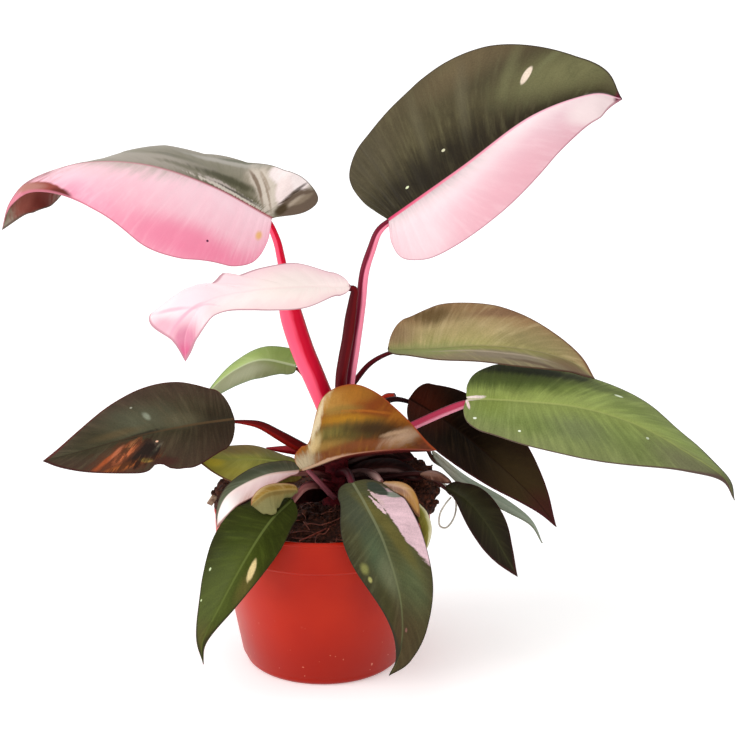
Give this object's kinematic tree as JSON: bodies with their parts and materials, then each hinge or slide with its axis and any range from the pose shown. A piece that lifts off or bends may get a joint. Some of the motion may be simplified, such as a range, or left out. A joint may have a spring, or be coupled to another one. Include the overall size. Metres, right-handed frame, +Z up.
{
  "type": "pink princess philodendron in a nursery pot",
  "caption": "Pink princess philodendron with pink, dark green and olive leaves on red stalks, growing in a round terracotta-coloured plastic nursery pot.",
  "frame": {"origin": "centre of the pot's flat base", "axes": "+Z up along the pot's axis, -Y towards the front of the plant, +X to its right"},
  "size_m": [0.3867, 0.1426, 0.3394],
  "materials": {
    "pot_plastic": "moulded polypropylene, satin",
    "compost": "crumbly peat and bark compost with roots",
    "stem_tissue": "woody dark red-brown stem",
    "leaf_pink": "glossy leathery leaf, part pink and part dark green",
    "leaf_dark": "glossy leathery leaf, near-black green",
    "leaf_green": "glossy leathery leaf, green to olive",
    "petiole_red": "smooth fleshy stalk, crimson to maroon",
    "dry_scale": "dry papery scale leaf",
    "root_fibre": "thin dry root"
  },
  "bodies": {
    "root": {"pot": "pot_plastic", "soil": "compost", "stem": "stem_tissue", "top_right_blade": "leaf_pink", "top_right_petiole": "petiole_red", "top_left_blade": "leaf_pink", "top_left_petiole": "petiole_red", "middle_pink_blade": "leaf_pink", "middle_pink_petiole": "petiole_red", "back_left_blade": "leaf_green", "back_left_petiole": "petiole_red", "left_dark_blade": "leaf_dark", "left_dark_petiole": "petiole_red", "left_yellow_blade": "leaf_green", "left_yellow_petiole": "petiole_red", "left_half_moon_blade": "leaf_pink", "left_half_moon_petiole": "petiole_red", "front_left_blade": "leaf_green", "front_left_petiole": "petiole_red", "front_right_blade": "leaf_pink", "front_right_petiole": "petiole_red", "right_small_blade": "leaf_dark", "right_small_petiole": "petiole_red", "right_dark_blade": "leaf_dark", "right_dark_petiole": "petiole_red", "right_green_blade": "leaf_green", "right_green_petiole": "petiole_red", "right_olive_blade": "leaf_green", "right_olive_petiole": "petiole_red", "centre_orange_blade": "leaf_green", "centre_orange_petiole": "petiole_red", "back_right_blade": "leaf_green", "back_right_petiole": "petiole_red", "bract_pale": "dry_scale", "sheath_tan": "dry_scale", "sheath_olive": "dry_scale", "sheath_brown": "dry_scale", "bud_pale": "petiole_red", "stub_red": "petiole_red", "tip_red": "petiole_red", "fibre_loop": "root_fibre"}
  },
  "joints": []
}
